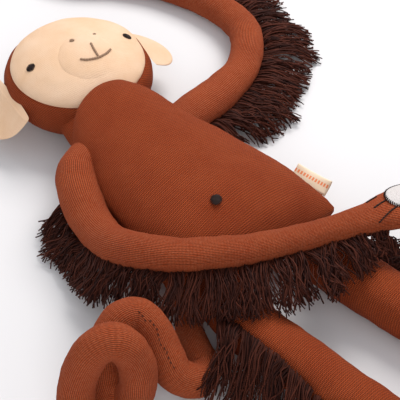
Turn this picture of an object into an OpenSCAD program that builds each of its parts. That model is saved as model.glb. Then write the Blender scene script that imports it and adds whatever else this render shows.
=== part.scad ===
// A knitted stuffed monkey, lying on its back: long arms and legs with thread fringe, a curled tail.
// +Z is up through the belly, +Y runs to the crown, -X is the monkey's right side.

/* [Fabric] */
// Thickness of the knitted skin and its wadding backing
skin = 1.6; // [1.2:0.1:2]
// Play between the skin and the stuffing
stuffing_gap = 0.4; // [0.3:0.1:0.8]
// Thickness of the thread fringe
fringe_thick = 3; // [2:0.5:3.5]

/* [Torso] */
// Height of the belly above its side seam
belly_rise = 45; // [40:1:47]
// Height of the side seam at the hips
hip_seam = 30; // [28:1:32]
// Slant of the bottom seam, as rise over run
bottom_slant = 0.17; // [0:0.01:0.18]

/* [Head] */
// Half the width of the head
head_half_w = 65; // [58:1:66]
// Half the length of the head from chin to crown
head_half_l = 64; // [58:1:66]
// Half the thickness of the head
head_half_h = 38; // [34:1:38]
// Turn of the head in its own plane, in degrees
head_turn = -5; // [-8:1:8]
// Spacing of the two eyes
eye_spacing = 91; // [70:1:94]
// Radius of the padded muzzle
muzzle_r = 27; // [22:1:28]
// Reach of an ear from the head
ear_reach = 32; // [24:1:34]

/* [Hands and label] */
// Diameter of the round pad in each palm
pad_d = 27; // [20:1:28]
// Length of the side label along its seam
label_l = 34; // [20:1:36]
// Reach of the side label from its seam
label_reach = 16; // [10:1:18]

/* [Hidden] */
sides = 12;          // facets round a limb
dome_steps = 3;      // rings in a rounded end
clear = 0.3;         // play between a sewn-on piece and the skin under it
thread = 1.4;        // width of an embroidered line

rust = "#9a4526";
peach = "#ecc9a8";
cream = "#e6d3bb";
wadding = "#f3efe6";
cocoa = "#3a1e19";
pale = "#e2dcda";

// Limb routes: x, y, z of the centre, half width, half height
right_upper_arm = [[-68, 51, 36, 17, 17], [-80, 28, 31, 17, 17], [-86, 2, 33, 16, 16]];
right_forearm = [[-90, -46, 52, 15, 15], [-83, -73, 65, 14.5, 14.5], [-68, -94, 71, 14, 13],
    [-45, -108, 71, 13, 12.5], [-19, -119, 68, 12, 12], [19, -131, 66, 11, 11],
    [51, -141, 66, 11, 11], [77, -147, 66, 13, 11], [99, -153, 66, 20, 12],
    [120, -158, 66, 23, 13], [141, -163, 66, 19, 12]];
left_upper_arm = [[68, 69, 27, 17, 17], [95, 78, 21, 17, 17], [132, 93, 18, 15, 15]];
left_forearm = [[170, 134, 17, 15, 15], [175, 155, 16, 14.5, 14.5], [174, 178, 15, 14, 14],
    [166, 207, 14, 13, 13], [150, 240, 13, 12, 12], [128, 270, 13, 12, 12],
    [109, 295, 13, 20, 12], [95, 314, 13, 23, 12.5], [83, 329, 13, 19, 12]];
right_thigh = [[-43, -154, 24, 22.5, 23], [-37, -184, 23, 22.5, 22.5], [-31, -214, 23, 22, 22]];
right_shin = [[-22, -266, 23, 22, 22], [-16, -300, 23, 22, 22], [-10, -330, 25, 23, 24]];
left_thigh = [[50, -139, 24, 22.5, 23], [59, -180, 23, 22.5, 22.5], [68, -221, 23, 22, 22]];
left_shin = [[82, -273, 23, 22, 22], [88, -300, 23, 22, 22], [95, -327, 25, 23, 24]];
tail_base = [[-86, -142, 16, 12, 12], [-88, -150, 15, 12.5, 12.5], [-92, -159, 15, 13, 13]];
tail_curl = [[-118, -159, 30, 14, 14], [-119, -147, 41, 14, 14], [-118, -131, 53, 14, 14],
    [-123, -117, 60, 14, 14], [-138, -114, 60, 14, 14], [-152, -119, 48, 14, 14],
    [-162, -127, 30, 14, 14], [-164, -142, 17, 14, 14], [-155, -155, 26, 14, 14],
    [-152, -161, 56, 14, 14], [-156, -157, 82, 14, 14], [-167, -151, 95, 14, 14],
    [-180, -146, 89, 14, 14], [-189, -141, 64, 14, 14], [-194, -141, 38, 14, 14],
    [-197, -152, 20, 13, 13], [-194, -168, 14, 12, 12]];

// Fringe: points of the sewn edge, then points of the free edge
right_upper_fringe_root = [[-92, 58, 22], [-99, 34, 20], [-104, 6, 22]];
right_upper_fringe_tips = [[-110, 66, 2], [-124, 34, 2], [-128, -8, 2]];
right_fore_fringe_root = [[-107, -49, 42], [-93, -88, 58], [-71, -112, 62], [-47, -125, 62],
    [-21, -136, 60], [17, -146, 59], [50, -155, 59], [77, -162, 59]];
right_fore_fringe_tips = [[-134, -52, 8], [-112, -98, 32], [-82, -142, 48], [-54, -162, 49],
    [-26, -175, 50], [12, -187, 50], [50, -194, 50], [84, -196, 50]];
left_upper_fringe_root = [[78, 53, 12], [102, 61, 10], [138, 76, 9]];
left_upper_fringe_tips = [[92, 26, 2], [122, 26, 2], [166, 40, 2]];
left_fore_fringe_root = [[186, 126, 9], [191, 154, 8], [189, 182, 8], [180, 212, 7],
    [162, 247, 7], [138, 279, 7]];
left_fore_fringe_tips = [[222, 106, 2], [232, 156, 2], [230, 192, 2], [216, 232, 2],
    [192, 268, 2], [164, 302, 2]];
right_thigh_fringe_root = [[-62, -152, 42], [-57, -180, 41], [-53, -212, 40]];
right_thigh_fringe_tips = [[-100, -196, 20], [-94, -216, 5], [-90, -244, 3]];
right_shin_fringe_root = [[-46, -270, 22], [-41, -300, 22], [-38, -326, 22]];
right_shin_fringe_tips = [[-84, -282, 2], [-80, -316, 2], [-72, -346, 2]];
left_thigh_fringe_root = [[74, -134, 20], [83, -176, 19], [92, -216, 19]];
left_thigh_fringe_tips = [[112, -132, 2], [122, -182, 2], [132, -226, 2]];
left_shin_fringe_root = [[106, -270, 19], [112, -298, 19], [119, -322, 19]];
left_shin_fringe_tips = [[144, -280, 2], [152, -312, 2], [156, -344, 2]];

// Torso stations: y, x of the middle, half width, height of the seam, rise, drop, forward lean
stations = [[87, 2, 22, 38, 8, 8, 0.1], [85, 2, 31, 38, 19, 19, 0.1], [80, 2, 36, 38, 29, 30, 0.1],
    [70, 2, 40, 37, 37, 38, 0.1], [45, 1, 46, 36, 40, 40, 0], [10, 1, 55, 34, 43, 38, 0],
    [-30, 2, 65, hip_seam + 2, belly_rise, 36, 0], [-65, 3, 75, hip_seam, belly_rise, 34, 0],
    [-90, 2, 82, hip_seam - 1, 0.76 * belly_rise, 30, 0],
    [-104, 1, 86, hip_seam - 2, 0.46 * belly_rise, 20, 0], [-112, 0, 87, hip_seam - 2, 5, 5, 0]];

head_at = [2, 154, 39];
face_edge = 67;      // polar angle of the seam round the face
eye_d = 7;
muzzle_at = [1.5, -18];
muzzle_puff = 6;
navel_at = [-13, -67];
navel_d = 10;
label_at = [83, -58, 28];
label_turn = 15;
ear_droop = 50;
ear_gap = 4;

function unit(v) = v / norm(v);
function place(p) = [p[0], p[1], p[2]];
function clip(i, n) = max(0, min(n, i));

// A smooth route through points of any length, with `steps` points to each span
function curve_point(a, b, c, d, t) =
    ((2 * b) + (c - a) * t + (2 * a - 5 * b + 4 * c - d) * t * t
    + (3 * b - a - 3 * c + d) * t * t * t) / 2;
function smooth(p, steps) = let (last = len(p) - 1) [
    for (i = [0:last - 1], k = [0:steps - 1])
        curve_point(p[clip(i - 1, last)], p[i], p[i + 1], p[clip(i + 2, last)], k / steps),
    p[last]];

// Directions along a route, and a sideways direction carried along it without twisting
function headings(r) = let (last = len(r) - 1) [
    for (i = [0:last]) unit(place(r[clip(i + 1, last)]) - place(r[clip(i - 1, last)]))];
function carried(h, v, i = 0, out = []) = i == len(h) ? out :
    let (w = unit(v - (v * h[i]) * h[i])) carried(h, w, i + 1, concat(out, [w]));

// One ring of points about p, half width w and half height h
function ring(p, side, heading, w, h) = let (up = cross(side, heading))
    [for (k = [0:sides - 1]) let (a = 360 * k / sides) p + side * w * cos(a) + up * h * sin(a)];

// All rings of a limb that is closed by domes, drawn in from its surface by `inset`
function limb_rings(route, inset, steps) = let (
        r = smooth(route, steps), h = headings(r), last = len(r) - 1,
        s = carried(h, unit(cross(h[0], [0, 0, 1]))))
    concat(
        [for (k = [dome_steps:-1:1]) let (a = 78 * k / dome_steps, w = r[0][3] - inset, z = r[0][4] - inset)
            ring(place(r[0]) - h[0] * w * sin(a), s[0], h[0], w * cos(a), z * cos(a))],
        [for (i = [0:last]) ring(place(r[i]), s[i], h[i], r[i][3] - inset, r[i][4] - inset)],
        [for (k = [1:dome_steps]) let (a = 78 * k / dome_steps, w = r[last][3] - inset, z = r[last][4] - inset)
            ring(place(r[last]) + h[last] * w * sin(a), s[last], h[last], w * cos(a), z * cos(a))]);

function flat(lists) = [for (l = lists, p = l) p];
function reversed(l) = [for (i = [len(l) - 1:-1:0]) l[i]];
// Side faces of a stack of rings that have m points each, counted from point `at`
function wall_faces(rings, m, at, flip) = [
    for (i = [0:rings - 2], k = [0:m - 1])
        let (a = at + i * m + k, b = at + i * m + (k + 1) % m, c = b + m, d = a + m)
        each flip ? [[a, b, c], [a, c, d]] : [[c, b, a], [d, c, a]]];
function end_face(at, m, flip) = flip ? [for (k = [m - 1:-1:0]) at + k] : [for (k = [0:m - 1]) at + k];

// A closed solid through a stack of rings
module stack(rings, m) {
    n = len(rings);
    polyhedron(flat(rings), concat(wall_faces(n, m, 0, false),
        [end_face(0, m, false), end_face((n - 1) * m, m, true)]));
}

// A shell that is closed at its first ring and open at its last: outer rings in, inner rings back
module hollow_cap(outer, inner) {
    loop = concat(outer, reversed(inner));
    m = len(outer[0]);
    n = len(loop);
    polyhedron(flat(loop), concat(wall_faces(n, m, 0, true),
        [end_face(0, m, true), end_face((n - 1) * m, m, false)]));
}

// The skin of a limb, gathered round a small hole at the end where it is stuffed
module limb_skin(route, steps = 2) {
    color(rust) hollow_cap(reversed(limb_rings(route, 0, steps)), reversed(limb_rings(route, skin, steps)));
}

module limb_stuffing(route, steps = 2) {
    color(wadding) stack(limb_rings(route, skin + stuffing_gap, steps), sides);
}

// A band of thread between a sewn edge and a free edge
module fringe(root, tips) {
    lift = [0, 0, fringe_thick];
    a = smooth(root, 2);
    b = smooth(tips, 2);
    color(cocoa) stack([for (i = [0:len(a) - 1]) [a[i], b[i], b[i] + lift, a[i] + lift]], 4);
}

// An embroidered line through points
module stitch_line(points) {
    h = headings(points);
    s = carried(h, unit(cross(h[0], [0, 0, 1])));
    stack([for (i = [0:len(points) - 1])
        let (up = cross(s[i], h[i]), w = thread / 2)
        [points[i] + s[i] * w, points[i] + up * w, points[i] - s[i] * w, points[i] - up * w]], 4);
}

// Height over the table of the torso's surface: sign 1 for the belly, -1 for the back
function slant(s) = bottom_slant * max(0, min(1, (30 - s[0]) / 95));
function torso_point(s, a, sign, inset) = let (
        x = s[1] + (s[2] - inset) * cos(a),
        z = s[3] + sign * (max(2, (sign > 0 ? s[4] : s[5]) - inset)) * sin(a))
    [x, s[0] + slant(s) * x + s[6] * (z - s[3]), max(inset, z)];
arc_steps = 14;
function torso_arc(s, sign, inset, gap) =
    [for (k = [0:arc_steps]) let (p = torso_point(s, 180 * k / arc_steps, sign, inset))
        [p[0], p[1], p[2] + sign * gap]];
function arc_m() = 2 * (arc_steps + 1);
// End of an open channel: quads between its outer and its inner arc
function strip_faces(at, flip) = [for (k = [0:arc_steps - 1])
    let (m = arc_m(), a = at + k, b = at + k + 1, c = at + m - 2 - k, d = at + m - 1 - k)
    each flip ? [[a, b, c], [a, c, d]] : [[c, b, a], [d, c, a]]];

module torso_panel(sign) {
    rings = [for (s = stations)
        let (outer = torso_arc(s, sign, 0, clear / 2), inner = torso_arc(s, sign, skin, clear / 2))
        sign > 0 ? concat(outer, reversed(inner)) : concat(reversed(outer), inner)];
    n = len(rings);
    m = arc_m();
    polyhedron(flat(rings), concat(wall_faces(n, m, 0, true),
        strip_faces(0, false), strip_faces((n - 1) * m, true)));
}

module torso_front_panel() color(rust) torso_panel(1);
module torso_back_panel() color(rust) translate([0, 0, clear / 2]) torso_panel(-1);

module torso_stuffing() {
    inset = skin + stuffing_gap;
    rings = [for (s = stations) concat(torso_arc(s, 1, inset, 0),
        [for (k = [arc_steps - 1:-1:1]) torso_point(s, 180 * k / arc_steps, -1, inset)])];
    color(wadding) stack([for (r = rings) reversed(r)], 2 * arc_steps);
}

module belly_button() {
    color(cocoa) translate([navel_at[0], navel_at[1], hip_seam + belly_rise + clear])
        cylinder(d = navel_d, h = 1.6, $fn = 32);
}

module side_label() {
    layer = 0.8;
    color(cream) translate(label_at) rotate([0, 0, label_turn]) {
        for (z = [0, 2 * layer]) translate([0, -label_l / 2, z])
            cube([label_reach, label_l, layer]);
        translate([label_reach, label_l / 2, 1.5 * layer]) rotate([90, 0, 0]) difference() {
            cylinder(r = 1.5 * layer, h = label_l, $fn = 32);
            translate([0, 0, -1]) cylinder(r = 0.5 * layer, h = label_l + 2, $fn = 32);
            translate([-3, -3, -1]) cube([3, 6, label_l + 2]);
        }
    }
}

// Head, in its own frame: x across, y to the crown, z from the table
module on_head() translate([head_at[0], head_at[1], 0]) rotate([0, 0, head_turn]) children();
function head_point(polar, a, inset) = let (z = head_at[2] + (head_half_h - inset) * cos(polar))
    [(head_half_w - inset) * sin(polar) * cos(a), (head_half_l - inset) * sin(polar) * sin(a),
        max(inset + 1, z)];
head_sides = 24;
function head_ring(polar, inset) =
    [for (k = [0:head_sides - 1]) head_point(polar, 360 * k / head_sides, inset)];
face_rings = [6, 24, 40, 54, face_edge];
hood_rings = [face_edge + 1, 78, 90, 104, 120, 140, 170];

module head_hood() color(rust) on_head() {
    loop = concat([for (t = hood_rings) head_ring(t, 0)],
        [for (t = reversed(hood_rings)) head_ring(t, skin)]);
    n = len(hood_rings);
    m = head_sides;
    q = n * m;
    polyhedron(flat(loop), concat(wall_faces(2 * n, m, 0, true),
        [for (k = [0:m - 1]) let (a = k, b = (k + 1) % m, c = (2 * n - 1) * m + b, d = (2 * n - 1) * m + k)
            each [[c, b, a], [d, c, a]]]));
}

module face_panel() color(peach) on_head()
    hollow_cap([for (t = face_rings) head_ring(t, 0)], [for (t = face_rings) head_ring(t, skin)]);

module head_stuffing() color(wadding) on_head() {
    inset = skin + stuffing_gap;
    stack([for (t = concat(face_rings, hood_rings)) reversed(head_ring(t, inset))], head_sides);
}

// Height of the face at u across and v up from the head's centre
function face_z(u, v) = head_at[2] + head_half_h
    * sqrt(max(0, 1 - pow(u / head_half_w, 2) - pow(v / head_half_l, 2)));
function muzzle_z(u, v) = let (f = norm([u, v] - muzzle_at) / muzzle_r)
    face_z(u, v) + clear + 1 + muzzle_puff * sqrt(max(0, 1 - f * f));

function muzzle_spot(r, k) = let (a = 360 * k / head_sides) muzzle_at + r * [cos(a), sin(a)];

module muzzle_patch() color(peach) on_head() {
    radii = [2, 10, 18, 24, muzzle_r];
    top = [for (r = radii) [for (k = [0:head_sides - 1]) let (p = muzzle_spot(r, k))
        [p[0], p[1], muzzle_z(p[0], p[1])]]];
    base = [for (r = radii) [for (k = [0:head_sides - 1]) let (p = muzzle_spot(r, k))
        [p[0], p[1], face_z(p[0], p[1]) + clear]]];
    hollow_cap(top, base);
}

// A small round of satin stitch that lies on the face
module dot_on_face(u, v, z, d) {
    tilt = acos((z - head_at[2]) / head_half_h);
    translate([u, v, z]) rotate([0, 0.7 * tilt * sign(u), 0])
        translate([0, 0, 0.5]) cylinder(d = d, h = 1.4, $fn = 24);
}

module eye(u, v) color(cocoa) on_head() dot_on_face(u, v, face_z(u, v), eye_d);
module right_eye() eye(1.5 - eye_spacing / 2, 0.5);
module left_eye() eye(1.5 + eye_spacing / 2, -4);

module nostrils() color("#a98a72") on_head()
    for (p = [[-3, 2], [19, 3]]) translate([p[0], p[1], muzzle_z(p[0], p[1]) + 1.2]) cylinder(d = 3, h = 1, $fn = 20);

module mouth_stitching() color("#8a705c") on_head() {
    lift = 1.6;
    stitch_line([for (p = [[-8, -21.5], [-2.5, -25], [7, -26.5], [16, -24.5], [22, -20.5]])
        [p[0], p[1], muzzle_z(p[0], p[1]) + lift]]);
    stitch_line([for (p = [[9, -9], [8, -17], [7.5, -25]]) [p[0], p[1], muzzle_z(p[0], p[1]) + lift]]);
}

module ear(side) {
    thick = 6;
    color(peach) on_head() translate([side * (head_half_w + ear_gap), 0, head_at[2]])
        rotate([0, side * ear_droop, 0]) difference() {
            translate([0, 0, -thick / 2]) cylinder(r = ear_reach, h = thick, $fn = 64);
            translate([side > 0 ? -2 * ear_reach : 0, -2 * ear_reach, -thick])
                cube([2 * ear_reach, 4 * ear_reach, 2 * thick]);
        }
}
module right_ear() ear(-1);
module left_ear() ear(1);

module right_upper_arm_skin() limb_skin(right_upper_arm);
module right_upper_arm_stuffing() limb_stuffing(right_upper_arm);
module right_upper_arm_fringe() fringe(right_upper_fringe_root, right_upper_fringe_tips);
module right_forearm_skin() limb_skin(right_forearm);
module right_forearm_stuffing() limb_stuffing(right_forearm);
module right_forearm_fringe() fringe(right_fore_fringe_root, right_fore_fringe_tips);
module left_upper_arm_skin() limb_skin(left_upper_arm);
module left_upper_arm_stuffing() limb_stuffing(left_upper_arm);
module left_upper_arm_fringe() fringe(left_upper_fringe_root, left_upper_fringe_tips);
module left_forearm_skin() limb_skin(left_forearm);
module left_forearm_stuffing() limb_stuffing(left_forearm);
module left_forearm_fringe() fringe(left_fore_fringe_root, left_fore_fringe_tips);

// Round pad in the palm, leaning by some degrees about the arm, then the lines stitched beside it
module palm_pad(at, lean) color(pale) translate(at) rotate([lean[0], lean[1], 0])
    cylinder(d = pad_d, h = 1.6, $fn = 48);
module finger_stitches(at, turn) color(cocoa) translate(at) rotate([0, 0, turn])
    for (v = [-9, 0, 9]) stitch_line([[0, v, 0.4], [8, v * 1.25, 0.2], [16, v * 1.5, -1.2]]);

right_pad_at = [105, -149, 79.6];
left_pad_at = [97, 312, 26.4];
module right_palm_pad() palm_pad(right_pad_at, [-8, 0]);
module right_finger_stitches() finger_stitches([92, -151, 78.6], 193);
module left_palm_pad() palm_pad(left_pad_at, [0, 0]);
module left_finger_stitches() finger_stitches([106.2, 299.8, 27.2], -54);

module right_thigh_skin() limb_skin(right_thigh);
module right_thigh_stuffing() limb_stuffing(right_thigh);
module right_thigh_fringe() fringe(right_thigh_fringe_root, right_thigh_fringe_tips);
module right_shin_skin() limb_skin(right_shin);
module right_shin_stuffing() limb_stuffing(right_shin);
module right_shin_fringe() fringe(right_shin_fringe_root, right_shin_fringe_tips);
module left_thigh_skin() limb_skin(left_thigh);
module left_thigh_stuffing() limb_stuffing(left_thigh);
module left_thigh_fringe() fringe(left_thigh_fringe_root, left_thigh_fringe_tips);
module left_shin_skin() limb_skin(left_shin);
module left_shin_stuffing() limb_stuffing(left_shin);
module left_shin_fringe() fringe(left_shin_fringe_root, left_shin_fringe_tips);

module toe_stitches(at, turn) color(cocoa) translate(at) rotate([0, 0, turn])
    for (v = [-9, 0, 9]) stitch_line([[4, v, 0], [12, v * 1.05, -2], [19, v * 1.1, -7]]);
module right_toe_stitches() toe_stitches([-10, -330, 51], -80);
module left_toe_stitches() toe_stitches([95, -327, 51], -76);

module tail_base_skin() limb_skin(tail_base);
module tail_base_stuffing() limb_stuffing(tail_base);
module tail_curl_skin() limb_skin(tail_curl);
module tail_curl_stuffing() limb_stuffing(tail_curl);

torso_front_panel();
torso_back_panel();
torso_stuffing();
belly_button();
side_label();
head_hood();
face_panel();
head_stuffing();
muzzle_patch();
right_eye();
left_eye();
nostrils();
mouth_stitching();
right_ear();
left_ear();
right_upper_arm_skin();
right_upper_arm_stuffing();
right_upper_arm_fringe();
right_forearm_skin();
right_forearm_stuffing();
right_forearm_fringe();
right_palm_pad();
right_finger_stitches();
left_upper_arm_skin();
left_upper_arm_stuffing();
left_upper_arm_fringe();
left_forearm_skin();
left_forearm_stuffing();
left_forearm_fringe();
left_palm_pad();
left_finger_stitches();
right_thigh_skin();
right_thigh_stuffing();
right_thigh_fringe();
right_shin_skin();
right_shin_stuffing();
right_shin_fringe();
right_toe_stitches();
left_thigh_skin();
left_thigh_stuffing();
left_thigh_fringe();
left_shin_skin();
left_shin_stuffing();
left_shin_fringe();
left_toe_stitches();
tail_base_skin();
tail_base_stuffing();
tail_curl_skin();
tail_curl_stuffing();
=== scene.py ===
# %% [markdown]
# # A knitted monkey with a thread fringe
# The toy lies on its back. Its skin is fine cotton jersey, stuffed with loose fibre, so every part of it is a
# soft, slightly uneven tube or cushion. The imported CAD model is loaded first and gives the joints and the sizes,
# and each soft piece below is made in the space that its CAD solid holds.

# %% Load the frame
import math
import random

import bmesh
import bpy
from mathutils import Matrix, Vector, noise
from mathutils.bvhtree import BVHTree


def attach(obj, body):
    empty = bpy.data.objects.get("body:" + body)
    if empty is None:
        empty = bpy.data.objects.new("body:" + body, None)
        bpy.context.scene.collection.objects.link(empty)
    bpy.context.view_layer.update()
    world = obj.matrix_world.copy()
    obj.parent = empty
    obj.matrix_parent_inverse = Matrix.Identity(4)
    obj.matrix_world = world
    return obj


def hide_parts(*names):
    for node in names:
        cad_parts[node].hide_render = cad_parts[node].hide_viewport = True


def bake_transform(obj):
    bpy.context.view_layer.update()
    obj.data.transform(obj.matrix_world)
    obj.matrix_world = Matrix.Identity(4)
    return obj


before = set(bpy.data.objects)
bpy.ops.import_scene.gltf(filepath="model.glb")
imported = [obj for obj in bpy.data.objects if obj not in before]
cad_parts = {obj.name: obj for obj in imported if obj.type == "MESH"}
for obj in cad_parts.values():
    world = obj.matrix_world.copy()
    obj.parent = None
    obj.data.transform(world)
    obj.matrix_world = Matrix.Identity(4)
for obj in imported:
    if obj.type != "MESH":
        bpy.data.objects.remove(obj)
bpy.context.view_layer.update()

MM = 0.001
UP = Vector((0, 0, 1))
TABLE_GAP = 0.4  # mm that cloth keeps over the table

# %% [markdown]
# ## Camera
# The camera looks down at the belly from the monkey's lower right, with a long lens, so that things far from the
# camera are hardly smaller. A direction and a distance say this more clearly than a typed-in location would.

# %% Place the camera
VIEW_DISTANCE, VIEW_TARGET = 1.4, Vector((0.0204, 0, 0))
view_turn, view_height = math.radians(-36.2), math.radians(45.5)
back = Vector((math.sin(view_turn) * math.cos(view_height),
               -math.cos(view_turn) * math.cos(view_height), math.sin(view_height)))
lens = bpy.data.cameras.new("camera")
lens.lens, lens.sensor_width = 150, 36
camera = bpy.data.objects.new("camera", lens)
camera.location = VIEW_TARGET + VIEW_DISTANCE * back
camera.rotation_euler = back.to_track_quat("Z", "Y").to_euler()
bpy.context.collection.objects.link(camera)
bpy.context.scene.camera = camera
print("camera at", [round(v, 3) for v in camera.location])

# %% [markdown]
# ## Table and light
# The table is a white sheet and the light is broad and soft. One large lamp stands beyond the monkey's left side,
# so shadows fall towards its right side, and a white sky fills them. A second, weaker lamp keeps the near side
# from going black.

# %% Lay the table and hang the lamps
def linear(code):
    """An sRGB hex colour as linear red, green, blue and 1."""
    parts = [int(code[i:i + 2], 16) / 255 for i in (1, 3, 5)]
    return [c / 12.92 if c <= 0.04045 else ((c + 0.055) / 1.055) ** 2.4 for c in parts] + [1]


def add_node(tree, kind, settings=(), inputs=()):
    """Adds a node. settings are its properties; inputs are values, or sockets to link from."""
    node = tree.nodes.new(kind)
    for name, value in dict(settings).items():
        setattr(node, name, value)
    for name, value in dict(inputs).items():
        if isinstance(value, bpy.types.NodeSocket):
            tree.links.new(value, node.inputs[name])
        else:
            node.inputs[name].default_value = value
    return node


def new_material(name):
    """An empty material, its node tree and its principled shader."""
    material = bpy.data.materials.new(name)
    material.use_nodes = True
    return material, material.node_tree, material.node_tree.nodes["Principled BSDF"]


bpy.ops.mesh.primitive_plane_add(size=8)
table = bpy.context.object
table.name = "table"
paper, tree, shader = new_material("matt_white_paper")
shader.inputs["Base Color"].default_value = linear("#dfdee0")
shader.inputs["Roughness"].default_value = 0.9
table.data.materials.append(paper)

world = bpy.data.worlds.new("white_room")
world.use_nodes = True
world.node_tree.nodes["Background"].inputs["Color"].default_value = linear("#f4f5f8")
world.node_tree.nodes["Background"].inputs["Strength"].default_value = 0.74
bpy.context.scene.world = world
bpy.context.scene.view_settings.view_transform = "Standard"


def add_lamp(name, place, power, size, colour):
    """A square lamp that faces the middle of the monkey."""
    lamp = bpy.data.lights.new(name, "AREA")
    lamp.energy, lamp.size, lamp.color = power, size, linear(colour)[:3]
    holder = bpy.data.objects.new(name, lamp)
    holder.location = place
    holder.rotation_euler = Vector(place).to_track_quat("Z", "Y").to_euler()
    bpy.context.collection.objects.link(holder)


add_lamp("key_lamp", (1.05, 0.6, 1.5), 30, 1.0, "#fffcf8")
add_lamp("near_lamp", (-0.9, -1.2, 1.2), 8, 1.2, "#ffffff")
print("lamps hung")

# %% [markdown]
# ## Jersey
# Jersey is knitted: each stitch is a small V, the Vs stack into ribs called wales, and the rows are courses. The
# pattern needs to follow the cloth round a limb, so each piece has a UV map called "cloth", measured in metres,
# and the Vs are worked out from it. A folded ramp across each wale gives the two legs of the V, and adding that
# ramp to the distance along the wale makes the legs lean. Real wales are about 1.3 mm apart. They are drawn at
# about twice that, because finer ones can't be seen in a small picture. The low parts of each stitch are darkened
# towards a groove colour, which is painted shade in the grooves. On a limb the cloth is stretched across, so its
# wales show more than its courses. The arms and tail have their own copy of the jersey, and its yarn colours are
# painted light: they differ from the torso's to match how brightly the arms and tail are lit. Flecks of paler
# fluff are mixed in. Brushed cotton scatters light at its edges, which is what sheen is for, and it hardly shines.

# %% Knit the jersey
def heather(tree, scale_mm, detail, low, high):
    """Soft blotches of about that size, from low to high."""
    place = add_node(tree, "ShaderNodeTexCoord")
    blotch = add_node(tree, "ShaderNodeTexNoise", {}, {
        "Vector": place.outputs["Object"], "Scale": 1000 / scale_mm, "Detail": detail, "Roughness": 0.6})
    spread = add_node(tree, "ShaderNodeMapRange", {}, {
        "Value": blotch.outputs["Fac"], "From Min": 0.3, "From Max": 0.7, "To Min": low, "To Max": high})
    return spread.outputs["Result"]


def sum_of(tree, operation, a, b):
    """Two numbers joined by one operation."""
    return add_node(tree, "ShaderNodeMath", {"operation": operation}, {0: a, 1: b}).outputs["Value"]


def cloth_axes(tree):
    """The distances across and along the cloth, in metres, from its own UV map."""
    cloth = add_node(tree, "ShaderNodeUVMap", {"uv_map": "cloth"})
    parts = add_node(tree, "ShaderNodeSeparateXYZ", {}, {0: cloth.outputs["UV"]})
    return parts.outputs["X"], parts.outputs["Y"]


def zigzag(tree, distance, mm):
    """Rises from 0 to 0.5 and falls again, once for every so many mm of a distance."""
    return sum_of(tree, "PINGPONG", sum_of(tree, "MULTIPLY", distance, 1000 / mm), 0.5)


def set_look(tree, shader, colour, bump=None, **values):
    """Gives a shader its colour, its plain values and, as height, strength and depth in mm, its relief."""
    tree.links.new(colour, shader.inputs["Base Color"])
    if bump:
        relief = add_node(tree, "ShaderNodeBump", {}, {"Height": bump[0], "Strength": bump[1],
                                                       "Distance": bump[2] * MM})
        tree.links.new(relief.outputs["Normal"], shader.inputs["Normal"])
    for name, value in values.items():
        shader.inputs[name.replace("_", " ")].default_value = value


def blend_colours(tree, factor, a, b):
    """Colour a where factor is 0, and b where it is 1."""
    mix = add_node(tree, "ShaderNodeMix", {"data_type": "RGBA"}, {"Factor": factor})
    for socket, colour in (("A", a), ("B", b)):
        target = [s for s in mix.inputs if s.name == socket and s.type == "RGBA"][0]
        if isinstance(colour, bpy.types.NodeSocket):
            tree.links.new(colour, target)
        else:
            target.default_value = colour
    return [s for s in mix.outputs if s.type == "RGBA"][0]


BLOTCH_MM, FLECK_MM, FLUFF_MM = 34, 1.6, 0.9
FLECK = "#e6a37c"


def knit_jersey(name, yarn, lit, groove_shade, wale_mm, course_mm, depth, relief_mm, sheen, course_share, fleck):
    """Jersey of one yarn: its colours, the size, painted groove shade and relief of a stitch, its sheen and pale
    flecks.
    """
    material, tree, shader = new_material(name)
    across, along = cloth_axes(tree)
    leg = zigzag(tree, across, wale_mm)
    along = sum_of(tree, "MULTIPLY", along, 1000 / course_mm)
    lean = sum_of(tree, "ADD", along, leg)
    loop = sum_of(tree, "SINE", sum_of(tree, "MULTIPLY", lean, math.tau), 0)
    ridge = sum_of(tree, "SINE", sum_of(tree, "MULTIPLY", leg, math.tau), 0)
    swell = add_node(tree, "ShaderNodeMath", {"operation": "MULTIPLY_ADD"},
                     {0: loop, 1: course_share, 2: 1 - course_share}).outputs["Value"]
    stitch = sum_of(tree, "MULTIPLY", ridge, swell)
    body = blend_colours(tree, heather(tree, BLOTCH_MM, 4, 0, 1), linear(yarn), linear(lit))
    body = blend_colours(tree, heather(tree, FLECK_MM, 2, 0, fleck), body, linear(FLECK))
    # Painted shade: where a stitch is low, its colour is pulled towards the groove colour, by up to depth.
    deep = sum_of(tree, "MULTIPLY", sum_of(tree, "SUBTRACT", 1, stitch), depth)
    colour = blend_colours(tree, deep, body, linear(groove_shade))
    fluff = heather(tree, FLUFF_MM, 2, 0, 0.5)
    height = sum_of(tree, "ADD", stitch, fluff)
    set_look(tree, shader, colour, (height, 1, relief_mm), Roughness=0.95, Specular_IOR_Level=0.15,
             Sheen_Weight=sheen, Sheen_Roughness=0.45, Sheen_Tint=linear(lit))
    return material


rust_jersey = knit_jersey("rust_cotton_jersey", "#b84b1e", "#c95a2a", "#42140a", wale_mm=2.4, course_mm=2.0,
                          depth=0.95, relief_mm=0.7, sheen=0.1, course_share=0.35, fleck=0.1)
# Painted light: the arms and tail get this copy of the rust jersey. Its yarn colours differ from the torso's to
# match how brightly they are lit, and its weaker courses show the cloth stretched across.
limb_jersey_painted_light = knit_jersey("rust_cotton_jersey_stretched_painted_light", "#a3401b", "#b24e25", "#4c1a0a", wale_mm=2.8,
                         course_mm=2.2, depth=0.9, relief_mm=0.6, sheen=0.15, course_share=0.15, fleck=0.2)
peach_jersey = knit_jersey("peach_cotton_jersey", "#e7c09c", "#efd0b4", "#d3a682", wale_mm=1.9, course_mm=1.6,
                           depth=0.25, relief_mm=0.25, sheen=0.1, course_share=0.35, fleck=0)
print("jersey ready:", rust_jersey.name, limb_jersey_painted_light.name, peach_jersey.name)

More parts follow.
